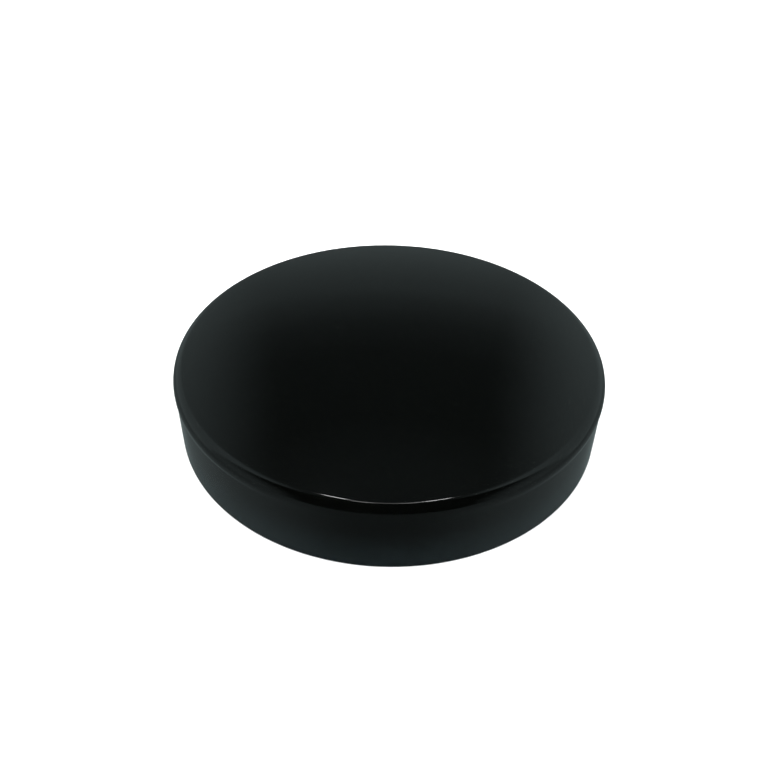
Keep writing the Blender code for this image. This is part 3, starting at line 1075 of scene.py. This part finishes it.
def nut_body(made, side_name):
    """A weld nut along Z: chamfered hexagon, round pilot and threaded bore. Z is 0 at the pilot's end."""
    end = HEAD_X - NUT_LOW.x
    face = end - made.nut_height
    body = prism("hex_weld_nut_" + side_name, hexagon(made.flats), face, end)
    corner = made.flats / math.sqrt(3)
    flat = made.flats / 2
    crown_edge = 0.97 * flat
    slope = 0.58
    crown = [
        (0, face - MM),
        (corner + MM, face - MM),
        (corner + MM, end - (corner + MM - crown_edge) * slope),
        (crown_edge, end),
        (crown_edge - MM, end + MM),
        (0, end + MM),
    ]
    cut_turned(body, crown, "INTERSECT", 96)
    soften_edges(body, 0.12 * MM, 2, 25)
    chamfer = 0.25 * MM
    pilot = [
        (0, 0),
        (made.pilot - chamfer, 0),
        (made.pilot, chamfer),
        (made.pilot, face + JOIN),
        (0, face + JOIN),
    ]
    cut_turned(body, pilot, "UNION")
    bore = threaded_rod("bore", made, 0.1 * MM, -2 * MM, end + 2 * MM)
    combine(body, bore, "DIFFERENCE")
    mouth = made.thread_radius + 0.35 * MM
    for start, step in ((0, 1), (end, -1)):
        section = [
            (0, start - step * MM),
            (mouth + MM, start - step * MM),
            (mouth - MM, start + step * MM),
            (0, start + step * MM),
        ]
        cut_turned(body, section)
    return body


def weld_bead(start, end, radius):
    """A rippled bead between two points, half sunk in what it joins."""
    run = end - start
    across = Vector((0, 0, 1)).rotation_difference(run.normalized()).to_matrix()
    rows, sides = 28, 12
    rings = []
    for row in range(rows + 1):
        share = row / rows
        swell = math.sqrt(max(0.03, 1 - (2 * share - 1) ** 6))
        swell *= 1 + 0.10 * math.sin(FULL_TURN * 7 * share)
        ring = []
        for x, y in circle(radius * swell, sides):
            ring.append(start + run * share + across @ Vector((x, y, 0)))
        rings.append(ring)
    return tube("bead", rings)


def nut_welds(made, side_name, side):
    """Beads along the three upper flats of a nut, where it meets the skirt."""
    seat = side * (NUT_LOW.x + made.nut_height + 0.25 * MM)
    beads = []
    for i in (-1, 0, 1):
        ends = []
        for share in (-0.3, 0.3):
            lean = share * FULL_TURN / 6
            reach = made.flats / 2 / math.cos(lean)
            turn = i * FULL_TURN / 6 + lean
            up = SCREW_AXIS_HEIGHT + reach * math.cos(turn)
            ends.append(Vector((seat, reach * math.sin(turn), up)))
        beads.append(weld_bead(*ends, made.bead))
    return merge_meshes("weld_beads_" + side_name, beads)


class POSTCAP_OT_weld_nuts(bpy.types.Operator):
    """Builds both weld nuts, threaded, with the weld beads that hold them"""

    bl_idname = "postcap.weld_nuts"
    bl_label = "Weld Nuts"

    def execute(self, context):
        made = context.scene.post_cap_fastening
        zinc = finish_called("zinc_steel", zinc_plate, made.zinc)
        metal = finish_called("weld_metal", weld_metal, made.weld)
        for side_name, side in SIDES:
            nut = place(nut_body(made, side_name), across_axis(side, HEAD_X))
            shade(nut, 30)
            finish_piece(nut, zinc, CAP_BODY, "zinc_steel", "weld_nut_" + side_name)
            beads = shade(nut_welds(made, side_name, side), 60)
            finish_piece(beads, metal, CAP_BODY, "zinc_steel")
        return {"FINISHED"}


class POSTCAP_OT_set_screws(bpy.types.Operator):
    """Builds both set screws: right-hand thread, hexagon socket and dog point"""

    bl_idname = "postcap.set_screws"
    bl_label = "Set Screws"

    def execute(self, context):
        made = context.scene.post_cap_fastening
        steel = finish_called("stainless_steel", turned_stainless, made.stainless)
        tip = HEAD_X - SCREW_LOW.x
        shoulder = tip - made.point_length
        edge = 0.18 * MM
        for side_name, side in SIDES:
            screw = threaded_rod("socket_screw_" + side_name, made, 0, 0, shoulder)
            point = [
                (0, shoulder - JOIN),
                (made.point, shoulder - JOIN),
                (made.point, tip - edge),
                (made.point - edge, tip),
                (0, tip),
            ]
            cut_turned(screw, point, "UNION", 48)
            key = prism("key", hexagon(made.socket), -MM, made.socket_depth)
            combine(screw, key, "DIFFERENCE")
            corner = made.socket / math.sqrt(3)
            lead = [(0, -MM), (corner + MM, -MM), (corner - 0.3 * MM, 0.3 * MM), (0, 0.3 * MM)]
            cut_turned(screw, lead)
            floor = made.socket_depth - JOIN
            drill = [(0, floor), (corner * 0.8, floor), (corner * 0.8, made.socket_depth)]
            cut_turned(screw, drill + [(0, made.socket_depth + 0.6 * MM)])
            place(screw, across_axis(side, HEAD_X))
            shade(screw, 30)
            node = "set_screw_" + side_name
            finish_piece(screw, steel, side_name + "_screw", "stainless_steel", node)
        return {"FINISHED"}


class POSTCAP_OT_thrust_pads(bpy.types.Operator):
    """Builds both turned pads that the screws press against the post"""

    bl_idname = "postcap.thrust_pads"
    bl_label = "Thrust Pads"

    def execute(self, context):
        made = context.scene.post_cap_fastening
        acetal = finish_called("white_acetal", natural_acetal, made.acetal)
        back, front = HEAD_X - PAD_HIGH.x, HEAD_X - PAD_LOW.x
        rim = (PAD_HIGH.y - PAD_LOW.y) / 2
        hole = made.point + 0.25 * MM
        depth = HEAD_X - SCREW_LOW.x + 0.12 * MM
        mouth, curve = 0.15 * MM, 0.25 * MM
        for side_name, side in SIDES:
            line = [(0, depth), (hole, depth), (hole, back + mouth), (hole + mouth, back)]
            line += arc((rim - curve, back + curve), curve, -QUARTER_TURN, 0, 4)
            line += [(rim, front - 0.45 * MM), (rim - 0.18 * MM, front - 0.16 * MM)]
            line += [(rim - 0.55 * MM, front - 0.04 * MM), (0.4 * rim, front), (0, front)]
            pad = turned("turned_pad_" + side_name, line, 64)
            place(pad, across_axis(side, HEAD_X))
            shade(pad, 40)
            node = "thrust_pad_" + side_name
            finish_piece(pad, acetal, side_name + "_pad", "white_acetal", node)
        return {"FINISHED"}


# ---------------------------------------------------------------- studio


def pale_floor(m, colour):
    """Matt pale paper with a faint grain. From below it can't be seen, so the underside shows."""
    grain = m.noise(900.0, 2.0)
    cloud = m.noise(3.0, 2.0)
    shade_of = m.mix(colour, (0.90, 0.90, 0.90), cloud * 0.4 + grain * 0.2)
    paper = m.node(
        "ShaderNodeBsdfPrincipled",
        {},
        {"Base Color": shade_of, "Roughness": 0.9, "Specular IOR Level": 0.1},
    )
    clear = m.node("ShaderNodeBsdfTransparent")
    behind = m.node("ShaderNodeNewGeometry", output="Backfacing")
    sheet = m.node("ShaderNodeMixShader", {}, {0: behind, 1: paper, 2: clear})
    m.node("ShaderNodeOutputMaterial", {}, {"Surface": sheet})
    return m.material


def grey(level):
    """A grey with the surround's slight blue-green cast."""
    return (level * 0.86, level * 1.05, level * 1.06)


# how steeply up, then how bright the surround is behind the cap
BEHIND = (
    (0.0, 0.26),
    (0.21, 0.235),
    (0.407, 0.175),
    (0.454, 0.135),
    (0.545, 0.078),
    (0.643, 0.047),
    (0.80, 0.045),
    (0.90, 0.085),
    (0.966, 0.07),
    (1.0, 0.02),
)


def surround(strength):
    """A dim room: darkest straight behind and above, paler low down and to the sides, black in front."""
    world = bpy.data.worlds.new("surround")
    bpy.context.scene.world = world
    w = NodeTree(world)
    x, y, z = w.split(w.node("ShaderNodeTexCoord"))
    behind = w.node("ShaderNodeValToRGB", {}, {"Fac": z})
    ramp = behind.socket.node.color_ramp
    while len(ramp.elements) < len(BEHIND):
        ramp.elements.new(1.0)
    for element, (height, level) in zip(ramp.elements, BEHIND):
        element.position = height
        element.color = (*grey(level), 1.0)
    right = x.smooth(0.22, 0.49)
    left = x.smooth(-0.23, -0.55)
    behind = w.mix(behind, grey(0.46), right.at_least(left))
    front = w.mix(grey(0.008), grey(0.30), abs(x).smooth(0.55, 0.95))
    above = w.mix(front, behind, y.smooth(-0.10, 0.06))
    ahead = w.mix(grey(0.10), grey(0.05), z.smooth(-0.68, -0.84))
    below = w.mix(ahead, grey(0.22), abs(x).smooth(0.1, 1.0).at_least(y))
    sky = w.mix(below, above, z.smooth(-0.03, 0.03))
    glow = w.node("ShaderNodeBackground", {}, {"Color": sky, "Strength": strength})
    w.node("ShaderNodeOutputWorld", {}, {"Surface": glow})


def area_light(name, place_at, aim, size, power):
    """A square soft light. size is its width and depth."""
    light = bpy.data.lights.new(name, "AREA")
    light.shape = "RECTANGLE"
    light.size, light.size_y = size
    light.energy = power
    made = new_object(name, light)
    made.location = place_at
    made.rotation_euler = (Vector(aim) - Vector(place_at)).to_track_quat("-Z", "Y").to_euler()
    return made


# name, lean from straight up across and back, width and depth, all in degrees, share of the glow
CEILING_LAMPS = (
    ("lamp_centre", 0.0, 3.0, 13.4, 5.0, 0.8),
    ("lamp_centre_left", -5.1, 3.0, 1.6, 5.0, 2.6),
    ("lamp_centre_right", 4.9, 3.0, 2.0, 5.0, 1.5),
    ("lamp_left", -9.1, 13.5, 1.6, 6.0, 13.0),
    ("lamp_left_inner", -7.6, 12.5, 1.4, 5.0, 2.2),
    ("lamp_right", 9.7, 9.0, 2.0, 6.0, 11.0),
    ("lamp_right_inner", 7.4, 8.0, 2.4, 5.0, 1.6),
)
LAMP_HEIGHT = 0.9  # over the cap, in metres


def ceiling_lamps(glow):
    """Small lamps over the cap that show as three thin bright lines on its shoulder."""
    for name, lean_x, lean_y, wide, deep, share in CEILING_LAMPS:
        across, back = math.tan(math.radians(lean_x)), math.tan(math.radians(lean_y))
        spot = Vector((across, back, 1)) * LAMP_HEIGHT
        size = [2 * LAMP_HEIGHT * math.tan(math.radians(angle / 2)) for angle in (wide, deep)]
        power = glow * share * math.pi * size[0] * size[1]
        lamp = area_light(name, spot, (0, 0, 0), size, power)
        lamp.visible_diffuse = False
        lamp.visible_camera = False


def soft_lights(power):
    """Large soft lights for the floor and the matt pieces, left out of the paint's reflections."""
    places = (
        ("soft_top", (0, 0.1, 1.6), (1.6, 1.6), 1.0),
        ("soft_left", (-1.3, -0.9, 1.1), (1.0, 1.0), 0.45),
        ("soft_right", (1.3, -0.7, 1.1), (1.0, 1.0), 0.40),
        ("soft_below", (0, 0, -0.8), (0.5, 0.5), 0.35),
    )
    for name, spot, size, share in places:
        light = area_light(name, spot, (0, 0, 0), size, power * share)
        light.visible_glossy = False
        light.visible_camera = False


class POSTCAP_OT_studio(bpy.types.Operator):
    """Sets up the floor, the surround, the lights and the camera"""

    bl_idname = "postcap.studio"
    bl_label = "Studio"

    def execute(self, context):
        scene = context.scene
        studio = scene.post_cap_studio
        scene.view_settings.view_transform = "Standard"
        turn, bend = studio.floor_radius, studio.cove
        line = [(0, 0), (0.3 * turn, 0)]
        line += arc((turn, bend), bend, -QUARTER_TURN, 0, 16)
        line.append((turn + bend, studio.wall))
        floor = turned("floor", line, 96)
        shade(floor, 60)
        face_inwards(floor)
        floor.data.materials.append(finish_called("pale_paper", pale_floor, studio.floor))
        floor.visible_glossy = False
        floor.visible_shadow = False
        surround(studio.sky)
        ceiling_lamps(studio.lamp_glow)
        soft_lights(studio.soft_power)
        camera = bpy.data.cameras.new("camera")
        camera.lens = studio.lens
        camera.sensor_width = SENSOR_WIDTH
        camera.clip_start = 0.01
        camera.shift_x, camera.shift_y = SHIFT
        seat = new_object("camera", camera)
        back = Vector((0, -math.cos(studio.elevation), math.sin(studio.elevation)))
        seat.location = Vector((0, 0, studio.height)) + back * studio.distance
        look = (-back).to_track_quat("-Z", "Y").to_matrix().to_4x4()
        look = look @ Matrix.Rotation(studio.roll, 4, "Z")
        seat.rotation_euler = look.to_euler()
        scene.camera = seat
        return {"FINISHED"}


# ---------------------------------------------------------------- panel and order of work


SETTINGS = {
    "post_cap_shell": PostCapShell,
    "post_cap_liner": PostCapLiner,
    "post_cap_seal": PostCapSeal,
    "post_cap_fastening": PostCapFastening,
    "post_cap_studio": PostCapStudio,
}
MAKERS = (
    POSTCAP_OT_shell,
    POSTCAP_OT_liner,
    POSTCAP_OT_seal,
    POSTCAP_OT_stud,
    POSTCAP_OT_push_nut,
    POSTCAP_OT_weld_nuts,
    POSTCAP_OT_set_screws,
    POSTCAP_OT_thrust_pads,
    POSTCAP_OT_studio,
)


class POSTCAP_PT_makers(bpy.types.Panel):
    """Lists the makers and their sizes"""

    bl_idname = "POSTCAP_PT_makers"
    bl_label = "Post Cap"
    bl_space_type = "VIEW_3D"
    bl_region_type = "UI"
    bl_category = "Post Cap"

    def draw(self, context):
        for maker in MAKERS:
            self.layout.operator(maker.bl_idname)
        for name, group in SETTINGS.items():
            box = self.layout.box()
            box.label(text=group.__doc__)
            for size in group.__annotations__:
                box.prop(getattr(context.scene, name), size)


def register():
    for group in (*SETTINGS.values(), *MAKERS, POSTCAP_PT_makers):
        bpy.utils.register_class(group)
    for name, group in SETTINGS.items():
        setattr(bpy.types.Scene, name, bpy.props.PointerProperty(type=group))


def unregister():
    for name in SETTINGS:
        delattr(bpy.types.Scene, name)
    for group in (POSTCAP_PT_makers, *reversed(MAKERS), *SETTINGS.values()):
        bpy.utils.unregister_class(group)


def main():
    register()
    bpy.ops.postcap.shell()
    bpy.ops.postcap.liner()
    bpy.ops.postcap.seal()
    bpy.ops.postcap.stud()
    bpy.ops.postcap.push_nut()
    bpy.ops.postcap.weld_nuts()
    bpy.ops.postcap.set_screws()
    bpy.ops.postcap.thrust_pads()
    bpy.ops.postcap.studio()
    bpy.context.view_layer.update()


if __name__ == "__main__":
    main()
